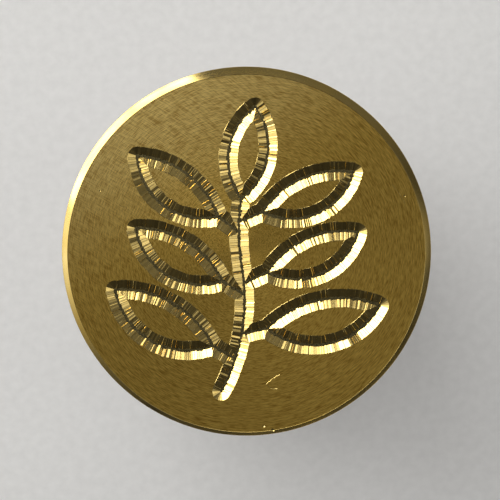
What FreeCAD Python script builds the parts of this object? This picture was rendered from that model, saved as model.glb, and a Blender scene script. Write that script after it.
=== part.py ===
import FreeCAD, Part
import math
import os

# Seal stamp that stands on the flat end of its handle with the engraved face up.
# Origin at the middle of that flat end, +Z up towards the face, all lengths in millimetres.

# Engraved brass head
seal_diameter = 25.0
head_height = 14.0
rim_height = 4.6
rim_chamfer = 0.5
bevel_width = 0.38
bevel_depth = 0.24
bevel_shift = 0.15
flare_width = 4.2
neck_diameter = 14.0
edge_chamfer = 0.3

# Groove of the engraving, the mark of a pointed cutter with a small flat tip
groove_width = 1.24
groove_tip = 0.16
groove_slope = 30.0
cutter_overrun = 0.2

# Sprig that the grooves draw
stem_foot_x = -1.7
stem_foot_y = -9.5
stem_heading = 61.5
lower_stem_radius = 13.0
lower_stem_turn = 38.0
upper_stem_radius = 15.0
upper_stem_turn = -18.0
leaf_length = 7.8
leaf_stalk = 1.75
top_leaf_length = 6.3
upper_edge_share = 0.15
lower_edge_share = 0.235
top_leaf_edge_share = 0.21

# Each side leaf: place along the stem, side (1 is left), degrees off the stem, length
leaf_shares = [
    (0.18, 1, 78.0, 0.98),
    (0.31, -1, 68.0, 1.00),
    (0.51, 1, 57.0, 0.88),
    (0.57, -1, 71.0, 0.86),
    (0.83, 1, 53.0, 0.88),
    (0.88, -1, 64.0, 0.86),
]

# Stud and the threaded holes that hold it
stud_diameter = 6.0
stud_in_head = 8.0
stud_chamfer = 0.6
thread_clearance = 0.05
bore_spare = 0.8
bore_chamfer = 0.6
drill_point = 118.0

# Threaded insert in the end of the handle
insert_diameter = 9.0
insert_length = 13.0
insert_floor = 2.0
flange_diameter = 10.6
flange_height = 1.0

# Brass ferrule
ferrule_wall = 0.8
ferrule_plate = 1.4
ferrule_skirt = 6.5
ferrule_lip = 0.5
lip_height = 1.6
stud_gap = 0.3

# Turned wooden handle
handle_length = 70.0
handle_flat_radius = 9.6
handle_end_chamfer = 1.2
swell_radius = 11.5
swell_place = 12.0
waist_radius = 6.4
waist_place = 54.0
glue_gap = 0.05

# How far the round parts of the handle reach, of the roundest that the taper allows
swell_bend_share = 0.25
waist_bend_share = 0.25

seal_radius = seal_diameter / 2
neck_radius = neck_diameter / 2
stud_radius = stud_diameter / 2
bore_radius = stud_radius + thread_clearance
seat_z = handle_length + ferrule_plate
face_z = seat_z + head_height
shoulder_z = handle_length - ferrule_skirt
stud_foot_z = handle_length - insert_length + insert_floor
groove_depth = (groove_width - groove_tip) / 2 * math.tan(math.radians(groove_slope))
up = FreeCAD.Vector(0, 0, 1)


def point(radius, z):
    return FreeCAD.Vector(radius, 0, z)


def line(start, end):
    return Part.LineSegment(start, end).toShape()


def round_edge(start, end, centre):
    """Arc of less than half a turn about a centre, from start to end."""
    bisector = (start - centre) + (end - centre)
    bisector.normalize()
    middle = centre + bisector * (start - centre).Length
    return Part.Arc(start, middle, end).toShape()


def turned(edges):
    """Solid turned about the Z axis from the closed outline of its half section."""
    face = Part.Face(Part.Wire(edges))
    return face.revolve(FreeCAD.Vector(), up, 360)


def turned_outline(corners):
    return turned(Part.makePolygon(corners + corners[:1]).Edges)


def drill_tip(radius, z, direction):
    """Cone that a drill leaves at the blind end of its hole."""
    height = radius / math.tan(math.radians(drill_point / 2))
    return Part.makeCone(radius, 0, height, FreeCAD.Vector(0, 0, z), up * direction)


def polar(x, y, reach, angle):
    return x + reach * math.cos(angle), y + reach * math.sin(angle)


def cutter_half_widths():
    """Half the groove's width at its floor and at the height where the cut starts."""
    rise = cutter_overrun / math.tan(math.radians(groove_slope))
    return groove_tip / 2, groove_width / 2 + rise


def cut_arc(centre, radius, start, end):
    """What the cutter takes away along an arc, between two angles in radians."""
    tip, top = cutter_half_widths()
    floor_z = face_z - groove_depth
    top_z = face_z + cutter_overrun
    low, high = min(start, end), max(start, end)
    section = [
        (radius - tip, floor_z),
        (radius + tip, floor_z),
        (radius + top, top_z),
        (radius - top, top_z),
    ]
    corners = [FreeCAD.Vector(*polar(*centre, reach, low), z) for reach, z in section]
    face = Part.Face(Part.makePolygon(corners + corners[:1]))
    return face.revolve(FreeCAD.Vector(*centre, 0), up, math.degrees(high - low))


def cut_straight(start, angle, length):
    """What the cutter takes away along a straight stretch."""
    tip, top = cutter_half_widths()
    across = angle + math.pi / 2
    section = [
        (-tip, face_z - groove_depth),
        (tip, face_z - groove_depth),
        (top, face_z + cutter_overrun),
        (-top, face_z + cutter_overrun),
    ]
    corners = [FreeCAD.Vector(*polar(*start, reach, across), z) for reach, z in section]
    face = Part.Face(Part.makePolygon(corners + corners[:1]))
    return face.extrude(FreeCAD.Vector(*polar(0, 0, length, angle), 0))


def cut_turn(centre, start, end):
    """Round end or outer corner of a groove, a part of the cutter's own cone."""
    tip, top = cutter_half_widths()
    section = [
        (0, face_z - groove_depth),
        (tip, face_z - groove_depth),
        (top, face_z + cutter_overrun),
        (0, face_z + cutter_overrun),
    ]
    corners = [FreeCAD.Vector(*polar(*centre, reach, start), z) for reach, z in section]
    face = Part.Face(Part.makePolygon(corners + corners[:1]))
    return face.revolve(FreeCAD.Vector(*centre, 0), up, math.degrees(end - start))


def stem_arcs():
    """The stem's two tangent arcs as centre, radius, first angle and turn."""
    place = (stem_foot_x, stem_foot_y)
    heading = math.radians(stem_heading)
    arcs = []
    for radius, degrees in (
        (lower_stem_radius, lower_stem_turn),
        (upper_stem_radius, upper_stem_turn),
    ):
        turn = math.radians(degrees)
        side = math.copysign(math.pi / 2, turn)
        centre = polar(*place, radius, heading + side)
        first = heading - side
        arcs.append((centre, radius, first, turn))
        place = polar(*centre, radius, first + turn)
        heading += turn
    return arcs


def on_stem(share):
    """Place and heading at a share of the stem's length."""
    arcs = stem_arcs()
    rest = share * sum(radius * abs(turn) for _, radius, _, turn in arcs)
    for centre, radius, first, turn in arcs:
        length = radius * abs(turn)
        if rest <= length or (centre, radius, first, turn) == arcs[-1]:
            angle = first + turn * rest / length
            return polar(*centre, radius, angle), angle + math.copysign(math.pi / 2, turn)
        rest -= length


def cut_leaf(base, angle, length, left_share, right_share):
    """Outline of a leaf, two arcs that meet in a point at the base and at the tip."""
    cuts = []
    bends = []
    for side, share in ((1, left_share), (-1, right_share)):
        bend = 2 * math.atan(2 * share)
        radius = length / 2 / math.sin(bend)
        middle = polar(*base, length / 2, angle)
        centre = polar(*middle, radius * math.cos(bend), angle - side * math.pi / 2)
        outward = angle + side * math.pi / 2
        cuts.append(cut_arc(centre, radius, outward - bend, outward + bend))
        bends.append(bend)
    left, right = bends
    quarter = math.pi / 2
    tip = polar(*base, length, angle)
    cuts.append(cut_turn(tip, angle + right - quarter, angle - left + quarter))
    cuts.append(cut_turn(base, angle + left + quarter, angle - right + 3 * quarter))
    return cuts


def sprig_cuts():
    """All grooves of the sprig: its stem, six side leaves on stalks and the top leaf."""
    cuts = [cut_arc(centre, radius, first, first + turn) for centre, radius, first, turn in stem_arcs()]
    foot, heading = on_stem(0)
    cuts.append(cut_turn(foot, heading + math.pi / 2, heading + math.pi * 3 / 2))
    for place, side, degrees, share in leaf_shares:
        start, heading = on_stem(place)
        angle = heading + side * math.radians(degrees)
        base = polar(*start, leaf_stalk, angle)
        edges = (lower_edge_share, upper_edge_share)
        cuts.append(cut_straight(start, angle, leaf_stalk))
        cuts += cut_leaf(base, angle, leaf_length * share, *edges[::side])
    crown, heading = on_stem(1)
    cuts += cut_leaf(crown, heading, top_leaf_length, top_leaf_edge_share, top_leaf_edge_share)
    return cuts


def head_blank():
    """Turned head: neck, flare and rim, with its front edge bevelled a little off centre."""
    rim_z = face_z - rim_height
    bevel_z = face_z - bevel_depth
    body = turned_outline([
        point(0, seat_z),
        point(neck_radius - edge_chamfer, seat_z),
        point(neck_radius, seat_z + edge_chamfer),
        point(neck_radius, rim_z - flare_width),
        point(neck_radius + flare_width, rim_z),
        point(seal_radius - rim_chamfer, rim_z),
        point(seal_radius, rim_z + rim_chamfer),
        point(seal_radius, bevel_z),
        point(0, bevel_z),
    ])
    rim = Part.makeCircle(seal_radius, FreeCAD.Vector(0, 0, bevel_z))
    face = Part.makeCircle(seal_radius - bevel_width, FreeCAD.Vector(0, -bevel_shift, face_z))
    top = Part.makeLoft([Part.Wire(rim), Part.Wire(face)], True, True)
    return body.fuse(top)


def make_seal_die():
    """Engraved brass head with the blind threaded hole in its neck."""
    depth = stud_in_head + bore_spare
    hole = Part.makeCylinder(bore_radius, depth, FreeCAD.Vector(0, 0, seat_z))
    hole = hole.fuse(drill_tip(bore_radius, seat_z + depth, 1))
    mouth = Part.makeCone(bore_radius + bore_chamfer, bore_radius, bore_chamfer, FreeCAD.Vector(0, 0, seat_z))
    return head_blank().cut([hole, mouth]).cut(sprig_cuts()).removeSplitter()


def make_threaded_stud():
    """Stud that joins the head to the insert in the handle."""
    top = seat_z + stud_in_head
    return turned_outline([
        point(0, stud_foot_z),
        point(stud_radius - stud_chamfer, stud_foot_z),
        point(stud_radius, stud_foot_z + stud_chamfer),
        point(stud_radius, top - stud_chamfer),
        point(stud_radius - stud_chamfer, top),
        point(0, top),
    ])


def make_stud_insert():
    """Flanged brass insert with a blind threaded hole, flush with the handle's end."""
    outer = insert_diameter / 2
    flange = flange_diameter / 2
    foot = handle_length - insert_length
    return turned_outline([
        point(0, foot),
        point(outer - edge_chamfer, foot),
        point(outer, foot + edge_chamfer),
        point(outer, handle_length - flange_height),
        point(flange, handle_length - flange_height),
        point(flange, handle_length),
        point(bore_radius + bore_chamfer, handle_length),
        point(bore_radius, handle_length - bore_chamfer),
        point(bore_radius, stud_foot_z),
        point(0, stud_foot_z),
    ])


def make_ferrule():
    """Brass cup over the handle's tenon, with a bevelled lip and a hole for the stud."""
    inner = neck_radius - ferrule_wall
    hole = stud_radius + stud_gap
    lip = neck_radius + ferrule_lip
    return turned_outline([
        point(inner, shoulder_z),
        point(lip - edge_chamfer, shoulder_z),
        point(lip, shoulder_z + edge_chamfer),
        point(lip, shoulder_z + lip_height - ferrule_lip),
        point(neck_radius, shoulder_z + lip_height),
        point(neck_radius, seat_z - edge_chamfer),
        point(neck_radius - edge_chamfer, seat_z),
        point(hole, seat_z),
        point(hole, handle_length),
        point(inner, handle_length),
    ])


def arc_radius(across, along):
    """Radius of an arc that leaves a line along its tangent and ends this far off it."""
    return (across**2 + along**2) / (2 * across)


def handle_blank():
    """Turned outside of the handle: flat end, swell, straight taper, waist, collar and tenon."""
    tenon = neck_radius - ferrule_wall - glue_gap
    collar = neck_radius + ferrule_lip
    low = point(handle_flat_radius + handle_end_chamfer, handle_end_chamfer)
    swell = point(swell_radius, swell_place)
    waist = point(waist_radius, waist_place)
    high = point(collar, shoulder_z - edge_chamfer)
    roundest = arc_radius(swell.x - waist.x, waist.z - swell.z)
    swell_bend = swell_bend_share * roundest
    waist_bend = waist_bend_share * roundest
    swell_centre = point(swell.x - swell_bend, swell.z)
    waist_centre = point(waist.x + waist_bend, waist.z)
    between = waist_centre - swell_centre
    taper = math.atan2(between.z, between.x) - math.acos((swell_bend + waist_bend) / between.Length)
    outward = point(math.cos(taper), math.sin(taper))
    taper_start = swell_centre + outward * swell_bend
    taper_end = waist_centre - outward * waist_bend
    end_arc = arc_radius(swell.x - low.x, swell.z - low.z)
    collar_arc = arc_radius(high.x - waist.x, high.z - waist.z)
    return turned([
        line(point(0, 0), point(handle_flat_radius, 0)),
        line(point(handle_flat_radius, 0), low),
        round_edge(low, swell, point(swell.x - end_arc, swell.z)),
        round_edge(swell, taper_start, swell_centre),
        line(taper_start, taper_end),
        round_edge(taper_end, waist, waist_centre),
        round_edge(waist, high, point(waist.x + collar_arc, waist.z)),
        line(high, point(collar - edge_chamfer, shoulder_z)),
        line(point(collar - edge_chamfer, shoulder_z), point(tenon, shoulder_z)),
        line(point(tenon, shoulder_z), point(tenon, handle_length)),
        line(point(tenon, handle_length), point(0, handle_length)),
        line(point(0, handle_length), point(0, 0)),
    ])


def make_handle_grip():
    """Handle with the stepped hole that holds the insert."""
    hole_radius = insert_diameter / 2 + glue_gap
    foot = handle_length - insert_length
    hole = Part.makeCylinder(hole_radius, insert_length, FreeCAD.Vector(0, 0, foot))
    seat_radius = flange_diameter / 2 + glue_gap
    seat = Part.makeCylinder(seat_radius, flange_height, FreeCAD.Vector(0, 0, handle_length - flange_height))
    return handle_blank().cut([hole, drill_tip(hole_radius, foot, -1), seat])


makers = {
    "seal_die": make_seal_die,
    "threaded_stud": make_threaded_stud,
    "stud_insert": make_stud_insert,
    "ferrule": make_ferrule,
    "handle_grip": make_handle_grip,
}

os.makedirs("parts", exist_ok=True)
for node, make in makers.items():
    shape = make()
    print(node, "valid", shape.isValid(), "solids", len(shape.Solids), "volume", round(shape.Volume, 3))
    shape.exportStep("parts/" + node + ".step")
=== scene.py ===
import math
import random

import bmesh
import bpy
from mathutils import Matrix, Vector, noise


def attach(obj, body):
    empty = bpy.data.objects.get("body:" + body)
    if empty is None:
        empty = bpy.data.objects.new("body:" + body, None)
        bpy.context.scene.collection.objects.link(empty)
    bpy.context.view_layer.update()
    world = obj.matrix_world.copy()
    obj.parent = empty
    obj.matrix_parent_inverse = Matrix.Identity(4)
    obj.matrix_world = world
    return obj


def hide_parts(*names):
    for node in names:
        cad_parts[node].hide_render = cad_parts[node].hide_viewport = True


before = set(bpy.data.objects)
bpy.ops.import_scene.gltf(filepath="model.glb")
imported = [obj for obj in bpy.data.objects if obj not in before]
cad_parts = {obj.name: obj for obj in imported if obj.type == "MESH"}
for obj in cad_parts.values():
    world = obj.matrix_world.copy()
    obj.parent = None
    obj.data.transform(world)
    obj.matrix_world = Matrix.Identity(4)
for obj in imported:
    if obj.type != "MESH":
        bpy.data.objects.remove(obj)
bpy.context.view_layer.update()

# Handle of the stamp: one stick of rosewood, turned on a lathe, sanded and lacquered.
# Its flat end is the foot that the stamp stands on. The tenon at the other end fills the
# ferrule, and a stepped hole in the tenon holds the insert.

MM = 0.001  # one millimetre in the frame's metres

handle_length = 70.0
foot_radius = 9.6
foot_chamfer = 1.2
foot_ease = 0.25
swell_radius = 11.5
swell_height = 12.0
waist_radius = 6.4
waist_height = 54.0
bend_share = 0.25
collar_radius = 7.5
collar_height = 63.5
collar_edge_width = 0.15
collar_edge_height = 0.3
collar_ease = 0.1
tenon_radius = 6.15
tenon_ease = 0.15
insert_hole_radius = 4.55
insert_hole_depth = 13.0
flange_seat_radius = 5.35
flange_seat_depth = 1.0
drill_tip_height = 2.7
scored_lines = (24.2, 25.8)
scored_line_width = 0.42
scored_line_depth = 0.24
# Section of a scored line, each point in shares of its width and of its depth
scored_line_shares = ((-0.5, 0), (-0.2, 0.9), (0, 1), (0.2, 0.9), (0.5, 0))


def arc_points(centre, start, end, steps):
    """Points along the arc about a centre from start to end, each a (radius, height)."""
    reach = math.dist(centre, start)
    first = math.atan2(start[1] - centre[1], start[0] - centre[0])
    last = math.atan2(end[1] - centre[1], end[0] - centre[0])
    turn = (last - first + math.pi) % math.tau - math.pi
    angles = [first + turn * step / steps for step in range(steps + 1)]
    return [(centre[0] + reach * math.cos(a), centre[1] + reach * math.sin(a)) for a in angles]


def arc_radius(across, along):
    """Radius of an arc that leaves a line along its tangent and ends this far off it."""
    return (across**2 + along**2) / (2 * across)


def eased(corners, steps=4):
    """Outline whose corners (radius, height, ease) are rounded over their ease."""
    outline = []
    for index, (radius, height, ease) in enumerate(corners):
        corner = Vector((radius, height))
        if ease == 0:
            outline.append(tuple(corner))
            continue
        before = Vector(corners[index - 1][:2])
        after = Vector(corners[(index + 1) % len(corners)][:2])
        start = corner + (before - corner).normalized() * ease
        end = corner + (after - corner).normalized() * ease
        for step in range(steps + 1):
            share = step / steps
            outline.append(tuple(start.lerp(corner, share).lerp(corner.lerp(end, share), share)))
    return outline


def new_piece(name, mesh_code):
    """Object from mesh code, with its faces turned outwards and its sharp edges kept."""
    weld_gap = 0.0005 * MM
    sharp_angle = math.radians(28)
    bmesh.ops.remove_doubles(mesh_code, verts=mesh_code.verts, dist=weld_gap)
    bmesh.ops.recalc_face_normals(mesh_code, faces=mesh_code.faces)
    mesh = bpy.data.meshes.new(name)
    mesh_code.to_mesh(mesh)
    mesh_code.free()
    mesh.shade_smooth()
    mesh.set_sharp_from_angle(angle=sharp_angle)
    piece = bpy.data.objects.new(name, mesh)
    bpy.context.scene.collection.objects.link(piece)
    return piece


def turned(name, outline, steps=192):
    """Piece turned about the Z axis from the closed outline of its half section."""
    mesh_code = bmesh.new()
    rings = []
    for radius, height in outline:
        # A point on the axis stays one vertex.
        count = steps if radius > 0 else 1
        angles = [math.tau * step / count for step in range(count)]
        rings.append([
            mesh_code.verts.new(Vector((radius * math.cos(a), radius * math.sin(a), height)) * MM)
            for a in angles
        ])
    for low, high in zip(rings, rings[1:] + rings[:1]):
        if len(low) == len(high) == 1:
            continue
        for step in range(steps):
            corners = [low[step % len(low)], low[(step + 1) % len(low)]]
            corners += [high[(step + 1) % len(high)], high[step % len(high)]]
            mesh_code.faces.new(list(dict.fromkeys(corners)))
    return new_piece(name, mesh_code)


def handle_outline():
    """Half section of the handle, up its outside from the foot and back down its hole.
    A straight taper joins the arcs of the swell and of the waist."""
    end_steps = 14
    bend_steps = 18
    low = (foot_radius + foot_chamfer, foot_chamfer)
    swell = (swell_radius, swell_height)
    waist = (waist_radius, waist_height)
    high = (collar_radius, collar_height - collar_edge_height)
    bend = bend_share * arc_radius(swell[0] - waist[0], waist[1] - swell[1])
    swell_centre = (swell[0] - bend, swell[1])
    waist_centre = (waist[0] + bend, waist[1])
    across = waist_centre[0] - swell_centre[0]
    along = waist_centre[1] - swell_centre[1]
    taper = math.atan2(along, across) - math.acos(2 * bend / math.hypot(across, along))
    outward = (math.cos(taper) * bend, math.sin(taper) * bend)
    taper_start = (swell_centre[0] + outward[0], swell_centre[1] + outward[1])
    taper_end = (waist_centre[0] - outward[0], waist_centre[1] - outward[1])
    end_arc = arc_radius(swell[0] - low[0], swell[1] - low[1])
    collar_arc = arc_radius(high[0] - waist[0], high[1] - waist[1])
    outside = arc_points((swell[0] - end_arc, swell[1]), low, swell, end_steps)
    outside += arc_points(swell_centre, swell, taper_start, bend_steps)[1:]
    slope = (taper_end[0] - taper_start[0]) / (taper_end[1] - taper_start[1])
    for height in scored_lines:
        for offset, depth in scored_line_shares:
            z = height + offset * scored_line_width
            radius = taper_start[0] + slope * (z - taper_start[1])
            outside.append((radius - depth * scored_line_depth, z))
    outside += arc_points(waist_centre, taper_end, waist, bend_steps)
    outside += arc_points((waist[0] + collar_arc, waist[1]), waist, high, end_steps)[1:]
    foot = eased([
        (0, 0, 0),
        (foot_radius, 0, foot_ease),
        (*low, foot_ease),
        (*outside[1], 0),
    ])[:-1]
    hole_foot = handle_length - insert_hole_depth
    seat = handle_length - flange_seat_depth
    top = eased([
        (*high, 0),
        (collar_radius - collar_edge_width, collar_height, collar_ease),
        (tenon_radius, collar_height, 0),
        (tenon_radius, handle_length, tenon_ease),
        (flange_seat_radius, handle_length, 0),
        (flange_seat_radius, seat, 0),
        (insert_hole_radius, seat, 0),
        (insert_hole_radius, hole_foot, 0),
        (0, hole_foot - drill_tip_height, 0),
    ])
    return foot + outside[1:-1] + top


def to_linear(hex_colour):
    """Linear colour of an sRGB hex value, with an alpha of 1."""
    shares = [int(hex_colour[index:index + 2], 16) / 255 for index in (0, 2, 4)]
    return [s / 12.92 if s <= 0.04045 else ((s + 0.055) / 1.055) ** 2.4 for s in shares] + [1.0]


def add_node(tree, kind, links=None, stops=(), **settings):
    """Adds a shader node. links gives each input a value, a node's first output, or a socket."""
    node = tree.nodes.new("ShaderNode" + kind)
    for name, value in settings.items():
        setattr(node, name, value)
    for name, value in (links or {}).items():
        if isinstance(value, bpy.types.Node):
            value = value.outputs[0]
        if isinstance(value, bpy.types.NodeSocket):
            tree.links.new(value, node.inputs[name])
        else:
            node.inputs[name].default_value = value
    for index, (place, colour) in enumerate(stops):
        if index > 1:
            node.color_ramp.elements.new(place)
        node.color_ramp.elements[index].position = place
        node.color_ramp.elements[index].color = to_linear(colour)
    return node


def start_material(name):
    """New material with an empty node tree."""
    material = bpy.data.materials.new(name)
    material.use_nodes = True
    material.node_tree.nodes.clear()
    return material, material.node_tree


def lacquered_rosewood():
    """Rosewood under clear lacquer: dark streaks from the growth rings, short open pores
    along the grain, and a gloss that lies on top of the wood."""
    material, tree = start_material("lacquered_rosewood")
    place = add_node(tree, "TexCoord").outputs["Object"]
    # The rings are those of a tree whose heart was 17 mm off the handle's axis, 1.7 mm apart.
    # At a scale of 1 the wave texture repeats after about tau / 20.
    wave_repeat = 0.314
    in_tree = add_node(tree, "Mapping", {
        "Vector": place,
        "Location": (13 * MM, 11 * MM, 0),
        "Scale": (1, 1, 0.06),
    })
    rings = add_node(tree, "TexWave", {
        "Vector": in_tree,
        "Scale": wave_repeat / (1.7 * MM),
        "Distortion": 10.0,
        "Detail": 1.0,
        "Detail Scale": 0.8,
        "Detail Roughness": 0.4,
    }, wave_type="RINGS", rings_direction="Z", wave_profile="SAW")
    ring_colour = add_node(tree, "ValToRGB", {0: rings}, [
        (0.0, "34140E"), (0.22, "5A2615"), (0.60, "7F3F24"), (0.88, "965331"), (1.0, "4A1E13"),
    ])
    # Bundles of fibres, drawn 0.3 mm across and 6 mm long: one fibre is too thin to show.
    along_grain = add_node(tree, "Mapping", {"Vector": place, "Scale": (1, 1, 0.05)})
    fibres = add_node(tree, "TexNoise", {
        "Vector": along_grain, "Scale": 1 / (0.55 * MM), "Detail": 4.0, "Roughness": 0.65,
    })
    fibre_shade = add_node(tree, "ValToRGB", {0: fibres}, [(0.32, "8C8480"), (0.68, "FFFFFF")])
    streaked = add_node(tree, "Mix", {0: 0.75, 6: ring_colour, 7: fibre_shade},
                        data_type="RGBA", blend_type="MULTIPLY")
    # Darker veins, some 4 mm wide and 30 mm long, that wander through the rings.
    vein_place = add_node(tree, "Mapping", {"Vector": place, "Scale": (1, 1, 0.13)})
    veins = add_node(tree, "TexNoise", {
        "Vector": vein_place, "Scale": 1 / (4 * MM), "Detail": 3.0, "Distortion": 0.6,
    })
    vein_shade = add_node(tree, "ValToRGB", {0: veins}, [(0.38, "8A6E66"), (0.58, "FFFFFF")])
    streaked = add_node(tree, "Mix", {0: 0.85, 6: streaked.outputs[2], 7: vein_shade},
                        data_type="RGBA", blend_type="MULTIPLY")
    # Pores 0.2 mm across and 3 mm long.
    pore_place = add_node(tree, "Mapping", {"Vector": place, "Scale": (1, 1, 0.07)})
    pores = add_node(tree, "TexVoronoi", {
        "Vector": pore_place, "Scale": 1 / (0.75 * MM), "Randomness": 1.0,
    })
    pore_shade = add_node(tree, "ValToRGB", {0: pores}, [(0.10, "2A120C"), (0.20, "FFFFFF")])
    colour = add_node(tree, "Mix", {0: 0.8, 6: streaked.outputs[2], 7: pore_shade},
                      data_type="RGBA", blend_type="MULTIPLY")
    sunk = add_node(tree, "Bump", {
        "Height": pore_shade, "Strength": 0.5, "Distance": 0.02 * MM,
    })
    # Lacquer lies in long soft waves, and thumb grease dulls it here and there.
    handling = add_node(tree, "TexNoise", {"Vector": place, "Scale": 1 / (9 * MM), "Detail": 3.0})
    dulled = add_node(tree, "MapRange", {
        "Value": handling, "From Min": 0.3, "From Max": 0.7, "To Min": 0.30, "To Max": 0.44,
    })
    shader = add_node(tree, "BsdfPrincipled", {
        "Base Color": colour.outputs[2],
        "Roughness": dulled,
        "IOR": 1.5,
        "Coat Weight": 0.7,
        "Coat Roughness": 0.09,
        "Coat IOR": 1.5,
        "Normal": sunk,
    })
    add_node(tree, "OutputMaterial", {"Surface": shader})
    return material


handle = turned("handle_grip_turned", handle_outline())
handle.data.materials.append(lacquered_rosewood())
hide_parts("handle_grip")
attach(handle, "handle")

# Insert: a flanged brass sleeve with a blind M6 thread, turned from bar.
# It is glued into the tenon, where rings round its outside key it to the glue.

glue_gap = 0.05
insert_radius = insert_hole_radius - glue_gap
insert_length = insert_hole_depth
insert_flange_radius = flange_seat_radius - glue_gap
insert_flange = flange_seat_depth
insert_foot_ease = 0.25
flange_foot_ease = 0.1
flange_ease = 0.15
insert_floor = 2.0
insert_foot = handle_length - insert_length
thread_floor = insert_foot + insert_floor
bore_radius = 3.05
bore_chamfer = 0.6
thread_pitch = 1.0
inner_thread_depth = 0.35
tap_overlap = 0.02
tap_overrun = 1.0
tap_lead = 1.2
tap_chamfer = 0.3
key_rings = 5
key_ring_spacing = 1.5
first_key_ring = 0.5
key_ring_width = 0.8
key_ring_floor = 0.4
key_ring_depth = 0.25


def threaded_rod(name, crest, root, foot, top, chamfer):
    """Closed rod with a right-hand thread, its ends cut square and chamfered."""
    steps = 56
    spare_turns = 3
    cut_slack = 0.00001 * MM
    # Crest and root of an M6 thread are an eighth and a quarter of its pitch wide.
    section = [(0.0, crest), (0.125, crest), (0.4375, root), (0.6875, root)]
    turns = math.ceil((top - foot) / thread_pitch) + spare_turns
    mesh_code = bmesh.new()
    columns = []
    for step in range(turns * steps + 1):
        angle = math.tau * step / steps
        rise = foot - spare_turns / 2 * thread_pitch + thread_pitch * step / steps
        column = []
        for offset, radius in section:
            z = rise + offset * thread_pitch
            to_end = max(min(z - foot, top - z), 0)
            radius = min(radius, crest - chamfer + to_end)
            place = Vector((radius * math.cos(angle), radius * math.sin(angle), z))
            column.append(mesh_code.verts.new(place * MM))
        columns.append(column)
    for step in range(turns * steps):
        here, after = columns[step], columns[step + 1]
        for low, high in ((0, 1), (1, 2), (2, 3)):
            mesh_code.faces.new((here[low], after[low], after[high], here[high]))
        if step + 1 + steps <= turns * steps:
            above, above_after = columns[step + steps], columns[step + 1 + steps]
            mesh_code.faces.new((here[3], after[3], above_after[0], above[0]))
    for height, normal in ((foot, (0, 0, -1)), (top, (0, 0, 1))):
        parts = mesh_code.verts[:] + mesh_code.edges[:] + mesh_code.faces[:]
        bmesh.ops.bisect_plane(mesh_code, geom=parts, plane_co=(0, 0, height * MM),
                               plane_no=normal, clear_outer=True, dist=cut_slack)
    rim_edges = [edge for edge in mesh_code.edges if edge.is_boundary]
    bmesh.ops.holes_fill(mesh_code, edges=rim_edges, sides=0)
    return new_piece(name, mesh_code)


def drop_folds(mesh):
    """Deletes faces that lie back to back on the same corners, as thin as nothing."""
    mesh_code = bmesh.new()
    mesh_code.from_mesh(mesh)
    twins = {}
    for face in mesh_code.faces:
        twins.setdefault(frozenset(face.verts), []).append(face)
    folds = [face for pair in twins.values() if len(pair) > 1 for face in pair]
    bmesh.ops.delete(mesh_code, geom=folds, context="FACES")
    mesh_code.to_mesh(mesh)
    mesh_code.free()


def machine(piece, tools, operation="DIFFERENCE"):
    """Cuts the tools out of the piece, or joins them to it, and clears them away."""
    for tool in tools:
        step = piece.modifiers.new("machining", "BOOLEAN")
        step.operation = operation
        step.solver = "MANIFOLD"
        step.object = tool
    bpy.context.view_layer.update()
    made = piece.evaluated_get(bpy.context.evaluated_depsgraph_get())
    mesh = bpy.data.meshes.new_from_object(made)
    drop_folds(mesh)
    piece.modifiers.clear()
    piece.data = mesh
    for tool in tools:
        bpy.data.objects.remove(tool)


def lathe_lines(tree, width, arc, centre=(0, 0)):
    """Noise in lines round an upright axis: each this wide, and this many radians long."""
    # Height counts for more than reach, so that no cone of the piece lies along the lines.
    height_weight = 2.3
    middle = (centre[0] * MM, centre[1] * MM, 0)
    place = add_node(tree, "TexCoord").outputs["Object"]
    place = add_node(tree, "VectorMath", {0: place, 1: middle}, operation="SUBTRACT").outputs[0]
    flat = add_node(tree, "VectorMath", {0: place, 1: (1, 1, 0)}, operation="MULTIPLY")
    around = add_node(tree, "VectorMath", {0: flat}, operation="NORMALIZE")
    reach = add_node(tree, "VectorMath", {0: flat}, operation="LENGTH").outputs["Value"]
    height = add_node(tree, "SeparateXYZ", {0: place}).outputs["Z"]
    across = add_node(tree, "Math", {
        0: height, 1: height_weight, 2: reach,
    }, operation="MULTIPLY_ADD")
    lines = add_node(tree, "Math", {0: across, 1: 1 / width}, operation="MULTIPLY")
    arcs = add_node(tree, "VectorMath", {0: around, 1: (1 / arc,) * 3}, operation="MULTIPLY")
    stacked = add_node(tree, "CombineXYZ", {"Z": lines})
    where = add_node(tree, "VectorMath", {0: arcs, 1: stacked}, operation="ADD")
    return add_node(tree, "TexNoise", {
        "Vector": where, "Scale": 1.0, "Detail": 2.0, "Roughness": 0.6,
    })


def turned_brass(name, dark, light, roughness, stretch=0.6):
    """Brass as the lathe leaves it: fine rings round the axis that stretch each highlight,
    and a thin brown tarnish in clouds."""
    material, tree = start_material(name)
    # Feed lines of 0.05 mm, drawn 0.12 mm wide so that they show.
    rings = lathe_lines(tree, 0.12 * MM, 0.9)
    clouds = add_node(tree, "TexNoise", {
        "Vector": add_node(tree, "TexCoord").outputs["Object"],
        "Scale": 1 / (4.5 * MM), "Detail": 4.0, "Roughness": 0.6,
    })
    both = add_node(tree, "Math", {0: rings, 1: 0.45, 2: clouds}, operation="MULTIPLY_ADD")
    colour = add_node(tree, "ValToRGB", {0: both}, [(0.50, dark), (0.95, light)])
    dulled = add_node(tree, "MapRange", {
        "Value": both, "From Min": 0.45, "From Max": 0.95,
        "To Min": roughness + 0.10, "To Max": roughness - 0.05,
    })
    scored = add_node(tree, "Bump", {"Height": rings, "Strength": 0.6, "Distance": 0.004 * MM})
    shader = add_node(tree, "BsdfPrincipled", {
        "Base Color": colour,
        "Metallic": 1.0,
        "Roughness": dulled,
        "Anisotropic": stretch,
        "Anisotropic Rotation": 0.25,
        "Normal": scored,
        "Tangent": add_node(tree, "Tangent", direction_type="RADIAL", axis="Z"),
    })
    add_node(tree, "OutputMaterial", {"Surface": shader})
    return material


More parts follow.
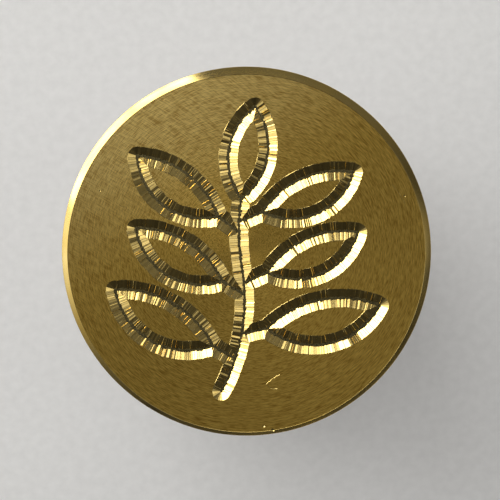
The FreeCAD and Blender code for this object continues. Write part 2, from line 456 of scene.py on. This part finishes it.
insert_corners = [
    (0, insert_foot, 0),
    (insert_radius, insert_foot, insert_foot_ease),
]
for index in range(key_rings):
    ring = thread_floor + first_key_ring + key_ring_spacing * index
    insert_corners += [
        (insert_radius, ring - key_ring_width / 2, 0),
        (insert_radius - key_ring_depth, ring - key_ring_floor / 2, 0),
        (insert_radius - key_ring_depth, ring + key_ring_floor / 2, 0),
        (insert_radius, ring + key_ring_width / 2, 0),
    ]
insert_corners += [
    (insert_radius, handle_length - insert_flange, 0),
    (insert_flange_radius, handle_length - insert_flange, flange_foot_ease),
    (insert_flange_radius, handle_length, flange_ease),
    (bore_radius + bore_chamfer, handle_length, 0),
    (bore_radius, handle_length - bore_chamfer, 0),
    (bore_radius, thread_floor, 0),
    (0, thread_floor, 0),
]
insert = turned("stud_insert_turned", eased(insert_corners), steps=128)
# The thread is cut outwards from the bore, so that it never touches the stud's own.
tap_crest = bore_radius + inner_thread_depth
tap_root = bore_radius - tap_overlap
insert_tap = threaded_rod("insert_tap", tap_crest, tap_root, thread_floor + tap_lead,
                          handle_length + tap_overrun, tap_chamfer)
machine(insert, [insert_tap])
fitting_brass = turned_brass("turned_fitting_brass", "B58D48", "E6C078", 0.26)
insert.data.materials.clear()
insert.data.materials.append(fitting_brass)
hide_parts("stud_insert")
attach(insert, "handle")

# Ferrule: a cup of brass 0.8 mm thick, turned from bar and pressed over the tenon, so that
# the wood can't split. Its lip sits on the shoulder of the handle.

ferrule_wall = 0.8
ferrule_gap = 0.05
ferrule_radius = tenon_radius + ferrule_gap + ferrule_wall
ferrule_lip = 0.5
lip_height = 1.6
lip_foot_ease = 0.22
lip_ease = 0.2
lip_root_ease = 0.12
ferrule_plate = 1.4
ferrule_ease = 0.28
seat_height = handle_length + ferrule_plate
stud_hole_radius = 3.3
stud_hole_ease = 0.1
# One fine line is turned round the ferrule, a little below its top.
line_drop = 1.85
line_height = seat_height - line_drop
line_width = 0.5
line_floor = 0.2
line_depth = 0.14

ferrule = turned("ferrule_turned", eased([
    (ferrule_radius - ferrule_wall, collar_height, 0),
    (ferrule_radius + ferrule_lip, collar_height, lip_foot_ease),
    (ferrule_radius + ferrule_lip, collar_height + lip_height - ferrule_lip, lip_ease),
    (ferrule_radius, collar_height + lip_height, lip_root_ease),
    (ferrule_radius, line_height - line_width / 2, 0),
    (ferrule_radius - line_depth, line_height - line_floor / 2, 0),
    (ferrule_radius - line_depth, line_height + line_floor / 2, 0),
    (ferrule_radius, line_height + line_width / 2, 0),
    (ferrule_radius, seat_height, ferrule_ease),
    (stud_hole_radius, seat_height, stud_hole_ease),
    (stud_hole_radius, handle_length, 0),
    (ferrule_radius - ferrule_wall, handle_length, 0),
]))
ferrule.data.materials.append(fitting_brass)
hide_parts("ferrule")
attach(ferrule, "handle")

# Stud: a length of M6 threaded rod in zinc-plated steel, with chamfered ends.
# It is screwed down to the floor of the insert, and the head screws onto the rest of it.

stud_crest = 2.98
stud_root = 2.39
stud_in_head = 8.0
stud_foot = thread_floor
stud_top = seat_height + stud_in_head
stud_chamfer = 0.6


def zinc_plated_steel():
    """Rolled steel thread under bright zinc: a pale, slightly blue grey with a soft shine
    and cloudy darker patches."""
    material, tree = start_material("zinc_plated_steel")
    clouds = add_node(tree, "TexNoise", {
        "Vector": add_node(tree, "TexCoord").outputs["Object"],
        "Scale": 1 / (1.1 * MM), "Detail": 5.0, "Roughness": 0.65,
    })
    colour = add_node(tree, "ValToRGB", {0: clouds}, [(0.35, "8F9296"), (0.62, "C6C9CB")])
    dulled = add_node(tree, "MapRange", {
        "Value": clouds, "From Min": 0.3, "From Max": 0.7, "To Min": 0.42, "To Max": 0.24,
    })
    grain = add_node(tree, "Bump", {"Height": clouds, "Strength": 0.3, "Distance": 0.01 * MM})
    shader = add_node(tree, "BsdfPrincipled", {
        "Base Color": colour, "Metallic": 1.0, "Roughness": dulled, "Normal": grain,
    })
    add_node(tree, "OutputMaterial", {"Surface": shader})
    return material


stud = threaded_rod("threaded_stud_rolled", stud_crest, stud_root, stud_foot, stud_top,
                    stud_chamfer)
stud.data.materials.append(zinc_plated_steel())
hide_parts("threaded_stud")
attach(stud, "stud")

# Head: a blank of brass, turned with a rim, a flared underside and a neck, drilled and
# tapped M6 from below. Its face is sanded flat and engraved by a pointed cutter, whose
# teeth leave small facets on the walls of the grooves.

# Turned blank
seal_radius = 12.5
head_top = 85.4
# The burr stands on the face and ends level with the top of the head.
burr_height = 0.018
face_height = head_top - burr_height
rim_height = 4.6
rim_ease = 0.5
flare_width = 4.2
flare_foot_ease = 1.3
flare_top_ease = 0.35
neck_radius = 7.0
neck_ease = 0.3
bevel_width = 0.38
bevel_depth = 0.24
bevel_shift = 0.15
bevel_ease = 0.02
# The shift fades out over this height of the rim's side.
shift_fade = 0.6
bevel_lip_height = 0.0085
bevel_lip_width = 0.034
front_margin = 0.1
head_bore_depth = 8.8
head_thread_length = 7.6
bore_overrun = 1.0
# 95 has no divisor in common with the 56 sides of a turn of the thread. With 96, which line
# up with them in places, the cut leaves faces as thin as nothing.
bore_sides = 95
drill_point = math.radians(118)

# Cutter, and the marks of its teeth
groove_width = 1.24
groove_tip = 0.20
groove_slope = math.radians(30)
cutter_overrun = 0.2
cone_sides = 22
tooth_length = (0.07, 0.15)
tooth_step = (0.02, 0.035)
steady_chatter = 0.016
rough_chatter = 0.040
floor_chatter = 0.035
slipped_tooth_share = 0.06
burst_rate = 0.7
burst_gain = 2
burst_bias = 0.08
least_lean = 0.5

# Burr along the grooves
burr_width = 0.042
burr_crest_share = 0.6
burr_slope = burr_height / (burr_width * burr_crest_share)
burr_rate = 1.1
burr_mean = 0.005
burr_swing = 0.03
burr_tear = 0.003
deepest_burr = -0.012
burr_root = 0.02

# Sprig of leaves: its angles are in degrees, and each bend of the stem has a radius and a turn.
stem_foot = (-1.7, -9.5)
stem_heading = 61.5
stem_bends = ((13.0, 38.0), (15.0, -18.0))
leaf_length = 7.8
leaf_stalk = 1.75
top_leaf_length = 6.3
upper_edge_share = 0.15
lower_edge_share = 0.235
top_leaf_edge_share = 0.21
# Each side leaf: share of the stem below it, side (1 is left), degrees off the stem, and
# share of the leaf length
leaf_shares = (
    (0.18, 1, 78.0, 0.98),
    (0.31, -1, 68.0, 1.00),
    (0.51, 1, 57.0, 0.88),
    (0.57, -1, 71.0, 0.86),
    (0.83, 1, 53.0, 0.88),
    (0.88, -1, 64.0, 0.86),
)

# Wear
scratch_tip = 0.005
scratch_stray = 0.06
scratch_steps = 12
scratch_rate = 0.6
ding_sides = 7
# Each scratch: x, y, degrees, degrees it turns by, length, width
scratches = (
    (2.25, -8.34, 206.0, 22.0, 1.14, 0.030),
    (1.37, -9.07, -50.0, 72.0, 0.86, 0.030),
    (-8.62, 3.11, -22.0, -6.0, 0.75, 0.020),
    (10.75, 3.2, 118.0, 12.0, 1.6, 0.020),
)
# Each ding: x, y, width
dings = (
    (1.17, -11.85, 0.16),
    (-9.92, 4.06, 0.11),
    (10.70, 3.72, 0.15),
    (-5.55, 10.25, 0.08),
    (9.9, -4.3, 0.05),
)
# Nick in the bevel: x, y, width
nick = (1.77, -12.14, 0.30)

# Material slots
head_slots = range(5)
turned_slot, wall_slot, floor_slot, face_slot, bevel_slot = head_slots
# A face counts as level where its normal is as upright as this.
level_normal = 0.99


def head_blank():
    """Turned head with its bevelled front edge, which is cut a little off centre."""
    rim_foot = head_top - rim_height
    bevel_foot = face_height - bevel_depth
    face_radius = seal_radius - bevel_width
    outline = eased([
        (0, seat_height, 0),
        (neck_radius, seat_height, neck_ease),
        (neck_radius, rim_foot - flare_width, flare_foot_ease),
        (neck_radius + flare_width, rim_foot, flare_top_ease),
        (seal_radius, rim_foot, rim_ease),
        (seal_radius, bevel_foot - shift_fade, 0),
        (seal_radius, bevel_foot, bevel_ease),
        (face_radius, face_height + bevel_lip_height, 0),
        (face_radius - bevel_lip_width, face_height, 0),
        (0, face_height, 0),
    ], steps=6)
    blank = turned("seal_die_engraved", outline, steps=256)
    # The bevel has one slope all round, so where it is narrower it is also less deep.
    bevel_slope = bevel_depth / bevel_width
    for vertex in blank.data.vertices:
        above = vertex.co.z / MM - bevel_foot
        share = min(max(above / bevel_depth, 0), 1)
        edge = min(max(above / shift_fade + 1, 0), 1) * (1 - share)
        vertex.co.z -= bevel_shift * bevel_slope * edge * vertex.co.y / seal_radius
        vertex.co.y -= bevel_shift * MM * share
    return blank


def cutter_at(stroke, distance):
    """Place and heading of the cutter at a distance along a stroke."""
    x, y, heading, _, curve = stroke
    if curve == 0:
        return x + distance * math.cos(heading), y + distance * math.sin(heading), heading
    turned_to = heading + curve * distance
    x += (math.sin(turned_to) - math.sin(heading)) / curve
    y -= (math.cos(turned_to) - math.cos(heading)) / curve
    return x, y, turned_to


def leaf_strokes(base, angle, length, left_share, right_share):
    """The two edges of a leaf, arcs that meet at its base and at its tip."""
    strokes = []
    for side, share in ((1, left_share), (-1, right_share)):
        bend = 2 * math.atan(2 * share)
        radius = length / 2 / math.sin(bend)
        strokes.append((*base, angle + side * bend, 2 * bend * radius, -side / radius))
    return strokes


def sprig():
    """Strokes (x, y, heading, length, curve) of the sprig, and where the cutter dwells."""
    stem = []
    x, y, heading = *stem_foot, math.radians(stem_heading)
    for radius, degrees in stem_bends:
        length = radius * abs(math.radians(degrees))
        stem.append((x, y, heading, length, math.copysign(1 / radius, degrees)))
        x, y, heading = cutter_at(stem[-1], length)
    crown = (x, y)
    strokes = list(stem)
    dwells = [stem_foot, crown]
    leaves = [(crown, heading, top_leaf_length, top_leaf_edge_share, top_leaf_edge_share)]
    stem_length = sum(stroke[3] for stroke in stem)
    for share, side, degrees, size in leaf_shares:
        rest = share * stem_length
        bend = stem[0]
        if rest > bend[3]:
            rest -= bend[3]
            bend = stem[1]
        x, y, heading = cutter_at(bend, rest)
        angle = heading + side * math.radians(degrees)
        stalk = (x, y, angle, leaf_stalk, 0)
        strokes.append(stalk)
        edges = (lower_edge_share, upper_edge_share)
        leaf_base = cutter_at(stalk, leaf_stalk)[:2]
        leaves.append((leaf_base, angle, leaf_length * size, *edges[::side]))
    for base, angle, length, *shares in leaves:
        strokes += leaf_strokes(base, angle, length, *shares)
        tip = (base[0] + length * math.cos(angle), base[1] + length * math.sin(angle))
        dwells += [base, tip]
    return strokes, dwells


def swept(name, stations, slots):
    """Closed mesh through stations, each a ring of as many (x, y, z) points. The sides that
    follow each point of the rings have the material slot that is given for it."""
    mesh_code = bmesh.new()
    rings = [[mesh_code.verts.new(Vector(place) * MM) for place in ring] for ring in stations]
    for here, after in zip(rings, rings[1:]):
        for index, slot in enumerate(slots):
            next_index = (index + 1) % len(here)
            face = mesh_code.faces.new((
                here[index], here[next_index], after[next_index], after[index],
            ))
            face.material_index = slot
    mesh_code.faces.new(rings[0][::-1])
    mesh_code.faces.new(rings[-1])
    return new_piece(name, mesh_code)


def unrest(stroke, place, spread, layer):
    """Smooth noise that wanders with the place along a stroke. The spread keeps strokes
    that start near each other apart, and each use has a layer of its own."""
    return noise.noise((stroke[0] * spread + place, stroke[1] * spread, layer))


def chattered(stroke, luck):
    """Marks along a stroke: its distance, then how far the top and the foot of the left and
    of the right wall stray there. Each tooth of the cutter leaves one flat between two marks.
    The cutter chatters in bursts, each a millimetre or two long."""
    length = stroke[3]
    marks = []
    distance = 0
    while distance < length:
        tooth = min(luck.uniform(*tooth_length), length - distance)
        start, end = [], []
        for wall_layer in (0, 7):
            burst = unrest(stroke, distance * burst_rate, spread=3, layer=wall_layer)
            reach = steady_chatter + rough_chatter * max(burst + burst_bias, 0) * burst_gain
            if luck.random() < slipped_tooth_share:
                reach += rough_chatter
            slide = reach * luck.uniform(-1, 1)
            lean = (least_lean + reach / rough_chatter) * floor_chatter * luck.uniform(-1, 1)
            start += [-slide / 2, lean - slide / 2]
            end += [slide / 2, lean + slide / 2]
        marks.append((distance, *start))
        marks.append((distance + tooth, *end))
        distance += tooth + luck.uniform(*tooth_step)
    return marks


def groove(stroke, marks, width=groove_width, tip=groove_tip):
    """What the cutter takes away along a stroke: wall, floor and wall."""
    floor_height = face_height - (width - tip) / 2 * math.tan(groove_slope)
    top = width / 2 + cutter_overrun / math.tan(groove_slope)
    stations = []
    for distance, left_top, left_foot, right_top, right_foot in marks:
        x, y, heading = cutter_at(stroke, distance)
        ring = []
        for reach, z in (
            (top + left_top, face_height + cutter_overrun),
            (tip / 2 + left_foot, floor_height),
            (-tip / 2 - right_foot, floor_height),
            (-top - right_top, face_height + cutter_overrun),
        ):
            ring.append((x - reach * math.sin(heading), y + reach * math.cos(heading), z))
        stations.append(ring)
    return swept("groove", stations, (wall_slot, floor_slot, wall_slot, wall_slot))


def burr(stroke, marks, luck):
    """Thin ridge of metal that the cutter pushes up along both sides of a stroke."""
    half = groove_width / 2
    stations = []
    for distance, left, _, right, _ in marks:
        x, y, heading = cutter_at(stroke, distance)
        rise = unrest(stroke, distance * burr_rate, spread=5, layer=3) * burr_swing + burr_mean
        rise += luck.uniform(-burr_tear, burr_tear)
        rise = min(max(rise, deepest_burr), burr_height)
        ring = []
        for side, stray in ((1, left), (-1, right)):
            edge = half + stray + burr_width
            foot = (side * (edge + burr_root / burr_slope), face_height - burr_root)
            crest = (side * (edge - rise / burr_slope), face_height + rise)
            ring += [foot, crest][::side]
        stations.append([
            (x - reach * math.sin(heading), y + reach * math.cos(heading), z) for reach, z in ring
        ])
    return swept("burr", stations, (wall_slot,) * 4)


def plunge(place, luck, width=groove_width, tip=groove_tip, sides=cone_sides):
    """Cone that the cutter leaves where it dwells, at the ends and corners of its strokes."""
    depth = (width - tip) / 2 * math.tan(groove_slope)
    reach = width / 2 + cutter_overrun / math.tan(groove_slope)
    strays = [luck.uniform(-1, 1) * steady_chatter for _ in range(sides)]
    stations = []
    for radius, z in ((tip / 2, face_height - depth), (reach, face_height + cutter_overrun)):
        stations.append([
            (
                place[0] + (radius + stray) * math.cos(math.tau * index / sides),
                place[1] + (radius + stray) * math.sin(math.tau * index / sides),
                z,
            )
            for index, stray in enumerate(strays)
        ])
    cone = swept("plunge", stations, (wall_slot,) * sides)
    for face in cone.data.polygons:
        if face.normal.z < -level_normal:
            face.material_index = floor_slot
    return cone


# The burr is joined on first, so that the grooves are cut through it.
luck = random.Random(25)
head = head_blank()
for _ in head_slots:
    head.data.materials.append(None)
strokes, dwells = sprig()
paths = [(stroke, chattered(stroke, luck)) for stroke in strokes]
machine(head, [burr(stroke, marks, luck) for stroke, marks in paths], "UNION")
grooves = [groove(stroke, marks) for stroke, marks in paths]
grooves += [plunge(place, luck) for place in dwells]
# A scratch is a very narrow groove, and a ding is a small pit.
for x, y, degrees, turn, length, width in scratches:
    stroke = (x, y, math.radians(degrees), length, math.radians(turn) / length)
    marks = []
    for step in range(scratch_steps + 1):
        stray = unrest(stroke, step * scratch_rate, spread=1, layer=9) * scratch_stray
        marks.append((length * step / scratch_steps, stray, stray, -stray, -stray))
    grooves.append(groove(stroke, marks, width, scratch_tip))
for x, y, width in (*dings, nick):
    grooves.append(plunge((x, y), luck, width, scratch_tip, ding_sides))
# The cutter's shapes are joined before they are cut out. Cut out one after another, they
# don't give the same mesh in every run.
for _ in head_slots:
    grooves[0].data.materials.append(None)
machine(grooves[0], grooves[1:], "UNION")
machine(head, [grooves[0]])
drill_tip = bore_radius / math.tan(drill_point / 2)
bore = turned("bore", [
    (0, seat_height - bore_overrun),
    (bore_radius + bore_chamfer + bore_overrun, seat_height - bore_overrun),
    (bore_radius, seat_height + bore_chamfer),
    (bore_radius, seat_height + head_bore_depth),
    (0, seat_height + head_bore_depth + drill_tip),
], bore_sides)
head_tap = threaded_rod("head_tap", tap_crest, tap_root, seat_height - tap_overrun,
                        seat_height + head_thread_length, tap_chamfer)
machine(head, [bore, head_tap])


def sanded_brass():
    """Brass sanded flat on a turning disc: long fine arcs round the middle, a second set
    across them at the upper left, a stretched highlight, a thin olive tarnish, and a painted
    sheen that makes the colour paler towards the top and the upper left."""
    material, tree = start_material("sanded_brass")
    # Scratches of 0.03 mm, drawn 0.05 and 0.1 mm wide so that they show.
    fine = lathe_lines(tree, 0.048 * MM, 0.05)
    broad = lathe_lines(tree, 0.10 * MM, 0.12)
    lines = add_node(tree, "Math", {0: broad, 1: 0.3, 2: fine}, operation="MULTIPLY_ADD")
    place = add_node(tree, "TexCoord").outputs["Object"]
    leaning = add_node(tree, "VectorMath", {0: place, 1: (-0.7, 0.7, 0)}, operation="DOT_PRODUCT")
    crossed = add_node(tree, "MapRange", {
        "Value": leaning.outputs["Value"], "From Min": -1 * MM, "From Max": 9 * MM, "To Max": 0.8,
    })
    second = lathe_lines(tree, 0.052 * MM, 0.03, (-24, -20))
    middling = add_node(tree, "Math", {0: second, 1: 0.5}, operation="SUBTRACT")
    lines = add_node(tree, "Math", {0: middling, 1: crossed, 2: lines}, operation="MULTIPLY_ADD")
    tarnished = add_node(tree, "ValToRGB", {0: lines}, [(0.47, "8F6C26"), (0.83, "EBC45F")])
    # Paler copy of the colour above, a painted sheen for the lit side.
    painted_sheen_colour = add_node(tree, "ValToRGB", {0: lines}, [(0.47, "977839"), (0.83, "EDD07F")])
    # Painted sheen: the colour turns paler towards the top and the upper left, the side that the
    # lamps light.
    leaning = add_node(tree, "VectorMath", {0: place, 1: (-0.5, 0.87, 0)}, operation="DOT_PRODUCT")
    painted_sheen_mask = add_node(tree, "MapRange", {
        "Value": leaning.outputs["Value"], "From Min": 2 * MM, "From Max": 11 * MM,
    }, interpolation_type="SMOOTHSTEP")
    colour = add_node(tree, "Mix", {0: painted_sheen_mask, 6: tarnished, 7: painted_sheen_colour}, data_type="RGBA")
    dulled = add_node(tree, "MapRange", {
        "Value": lines, "From Min": 0.45, "From Max": 0.90, "To Min": 0.42, "To Max": 0.32,
    })
    scored = add_node(tree, "Bump", {"Height": lines, "Strength": 0.5, "Distance": 0.003 * MM})
    shader = add_node(tree, "BsdfPrincipled", {
        "Base Color": colour.outputs[2],
        "Metallic": 1.0,
        "Roughness": dulled,
        "Anisotropic": 0.3,
        "Anisotropic Rotation": 0.25,
        "Normal": scored,
        "Tangent": add_node(tree, "Tangent", direction_type="RADIAL", axis="Z"),
    })
    add_node(tree, "OutputMaterial", {"Surface": shader})
    return material


def cut_brass():
    """Brass fresh from a sharp cutter: bright, smooth and yellow, in slightly uneven tones."""
    material, tree = start_material("cut_brass")
    grain = add_node(tree, "TexNoise", {
        "Vector": add_node(tree, "TexCoord").outputs["Object"],
        "Scale": 1 / (0.12 * MM), "Detail": 3.0, "Roughness": 0.6,
    })
    colour = add_node(tree, "ValToRGB", {0: grain}, [(0.3, "E2C068"), (0.7, "F0D488")])
    shader = add_node(tree, "BsdfPrincipled", {
        "Base Color": colour, "Metallic": 1.0, "Roughness": 0.12,
    })
    add_node(tree, "OutputMaterial", {"Surface": shader})
    return material


def painted_shade_groove_floor():
    """Floor of the grooves: torn brass, dull, with its colour painted dark in specks as shade for
    the shadow that falls in the grooves.
    """
    material, tree = start_material("painted_shade_groove_floor")
    specks = add_node(tree, "TexNoise", {
        "Vector": add_node(tree, "TexCoord").outputs["Object"],
        "Scale": 1 / (0.1 * MM), "Detail": 4.0, "Roughness": 0.7,
    })
    # Dark specks: painted shade for the groove floors, which lie in shadow.
    colour = add_node(tree, "ValToRGB", {0: specks}, [(0.35, "2A2512"), (0.65, "7A6E48")])
    shader = add_node(tree, "BsdfPrincipled", {
        "Base Color": colour, "Metallic": 0.85, "Roughness": 0.45,
    })
    add_node(tree, "OutputMaterial", {"Surface": shader})
    return material


# The cutter's own shapes have put the walls, the floors and the burr in their slots. What is
# left at the front is the flat face and the bevel, which a finer cut on the lathe left bright.
# The margin takes in the foot of the bevel, which is lower on one side.
front_foot = face_height - bevel_depth - front_margin
for face in head.data.polygons:
    face.use_smooth = face.material_index == turned_slot
    if face.material_index == turned_slot and face.center.z > front_foot * MM:
        face.use_smooth = face.normal.z < level_normal
        face.material_index = bevel_slot if face.use_smooth else face_slot
finishes = (
    turned_brass("turned_head_brass", "AE8A48", "DDB868", 0.24),
    cut_brass(),
    painted_shade_groove_floor(),
    sanded_brass(),
    turned_brass("fine_turned_brass", "D6B258", "F0D488", 0.16, 0.2),
)
for slot, finish in zip(head_slots, finishes):
    head.data.materials[slot] = finish
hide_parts("seal_die")
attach(head, "die")

# Floor: a sheet of matt pale grey card, far wider than the view, flat under the handle.
# Its weak glow is seen by the camera and in reflections alone, and lights nothing.

floor_reach = 3000.0
card_glow = 0.28


def pale_card():
    """Matt card of an even pale grey."""
    material, tree = start_material("pale_card")
    specks = add_node(tree, "TexNoise", {
        "Vector": add_node(tree, "TexCoord").outputs["Object"],
        "Scale": 1 / (0.8 * MM), "Detail": 3.0,
    })
    colour = add_node(tree, "ValToRGB", {0: specks}, [(0.3, "D2D1CE"), (0.7, "D8D7D4")])
    matt = add_node(tree, "BsdfDiffuse", {"Color": colour})
    ray = add_node(tree, "LightPath").outputs
    shown = add_node(tree, "Math", {
        0: ray["Is Camera Ray"], 1: ray["Is Glossy Ray"],
    }, operation="ADD")
    shown = add_node(tree, "Math", {0: shown, 1: ray["Is Transmission Ray"]}, operation="ADD")
    strength = add_node(tree, "Math", {0: shown, 1: card_glow}, operation="MULTIPLY")
    glow = add_node(tree, "Emission", {"Color": colour, "Strength": strength})
    both = add_node(tree, "AddShader", {0: matt, 1: glow})
    add_node(tree, "OutputMaterial", {"Surface": both})
    return material


floor_mesh = bpy.data.meshes.new("floor")
floor_corners = [
    (x * floor_reach * MM, y * floor_reach * MM, 0)
    for x, y in ((-1, -1), (1, -1), (1, 1), (-1, 1))
]
floor_mesh.from_pydata(floor_corners, [], [(0, 1, 2, 3)])
floor = bpy.data.objects.new("floor", floor_mesh)
floor.data.materials.append(pale_card())
bpy.context.scene.collection.objects.link(floor)

# Light: a softbox at the upper left, low enough to glance off the walls of the grooves, and
# a weaker one nearer the top. Two large weak ones below the level of the face light the
# handle, and a soft room shows in all the brass.

face_middle = (0, 0, face_height)
stamp_middle = (0, 0, 42)
# Each softbox: name, azimuth, elevation, distance, width and height, radiance, aim
softboxes = (
    ("key_light", 135, 29, 125, (126, 76), 4.4, face_middle),
    ("top_light", 107, 50, 110, (110, 70), 1.9, face_middle),
    ("front_fill", -60, 2, 260, (260, 60), 1.6, stamp_middle),
    ("back_fill", 60, 2, 260, (260, 60), 0.8, stamp_middle),
)
# Each bright patch of the room: azimuth, elevation, tightness, strength
bright_patches = (
    (172, 33, 10.0, 1.7),
    (70, 50, 7.0, 0.25),
    (4, 36, 70.0, 1.5),
)


def direction_to(azimuth, elevation):
    """Direction from the stamp to a lamp or to a place in the room, both angles in degrees."""
    turn, lift = math.radians(azimuth), math.radians(elevation)
    return Vector((
        math.cos(turn) * math.cos(lift), math.sin(turn) * math.cos(lift), math.sin(lift),
    ))


def hang_softbox(name, azimuth, elevation, distance, size, radiance, aim):
    """Rectangular lamp, placed by its direction and distance from the point it aims at."""
    lamp = bpy.data.lights.new(name, "AREA")
    lamp.shape = "RECTANGLE"
    lamp.size = size[0] * MM
    lamp.size_y = size[1] * MM
    # The power of an area lamp is its radiance times pi times its area.
    lamp.energy = radiance * math.pi * size[0] * size[1] * MM * MM
    box = bpy.data.objects.new(name, lamp)
    towards = direction_to(azimuth, elevation)
    box.location = (Vector(aim) + towards * distance) * MM
    box.rotation_euler = towards.to_track_quat("Z", "Y").to_euler()
    box.visible_camera = False
    bpy.context.scene.collection.objects.link(box)


for softbox in softboxes:
    hang_softbox(*softbox)

world = bpy.data.worlds.new("room")
world.use_nodes = True
room = world.node_tree
room.nodes.clear()
looked_at = add_node(room, "TexCoord").outputs["Generated"]
upward = add_node(room, "SeparateXYZ", {0: looked_at}).outputs["Z"]
level = add_node(room, "MapRange", {"Value": upward, "From Min": -1.0, "From Max": 1.0})
# Pale round the horizon, dim above it, and a little lighter overhead.
sky = add_node(room, "ValToRGB", {0: level}, [
    (0.0, "CFCFCD"), (0.53, "CFCFCD"), (0.57, "6F6F6E"), (0.61, "3A3A3A"),
    (0.88, "3A3A3A"), (0.96, "3D3D3D"), (1.0, "424242"),
])
uneven = add_node(room, "TexNoise", {
    "Vector": looked_at, "Scale": 5.0, "Detail": 4.0, "Roughness": 0.65,
})
uneven = add_node(room, "MapRange", {
    "Value": uneven, "From Min": 0.35, "From Max": 0.65, "To Min": 0.5, "To Max": 1.6,
})
sky = add_node(room, "VectorMath", {0: sky, 1: uneven}, operation="MULTIPLY")
glow = 0.0
for azimuth, elevation, tightness, strength in bright_patches:
    patch = direction_to(azimuth, elevation)
    facing = add_node(room, "VectorMath", {0: looked_at, 1: patch}, operation="DOT_PRODUCT")
    facing = add_node(room, "Math", {0: facing.outputs["Value"], 1: 0.0}, operation="MAXIMUM")
    spread = add_node(room, "Math", {0: facing, 1: tightness}, operation="POWER")
    glow = add_node(room, "Math", {0: spread, 1: strength, 2: glow}, operation="MULTIPLY_ADD")
lit = add_node(room, "Mix", {0: 1.0, 6: sky, 7: glow}, data_type="RGBA", blend_type="ADD")
background = add_node(room, "Background", {"Color": lit.outputs[2], "Strength": 1.0})
add_node(room, "OutputWorld", {"Surface": background})
bpy.context.scene.world = world

# Camera: straight above the face, through a long lens. It looks at a place a little off the
# middle of the head, because the photo does.

# Width of the view at the top of the head
frame_width = 33.83
lens = 300.0
sensor = 36.0
view_x = 0.24
view_y = 0.07

camera_data = bpy.data.cameras.new("camera")
camera_data.lens = lens
camera_data.sensor_width = sensor
camera_data.clip_start = 0.01
camera_data.clip_end = 20.0
camera = bpy.data.objects.new("camera", camera_data)
camera.location = Vector((view_x, view_y, head_top + frame_width * lens / sensor)) * MM
bpy.context.scene.collection.objects.link(camera)
bpy.context.scene.camera = camera

view = bpy.context.scene.view_settings
view.view_transform = "Standard"
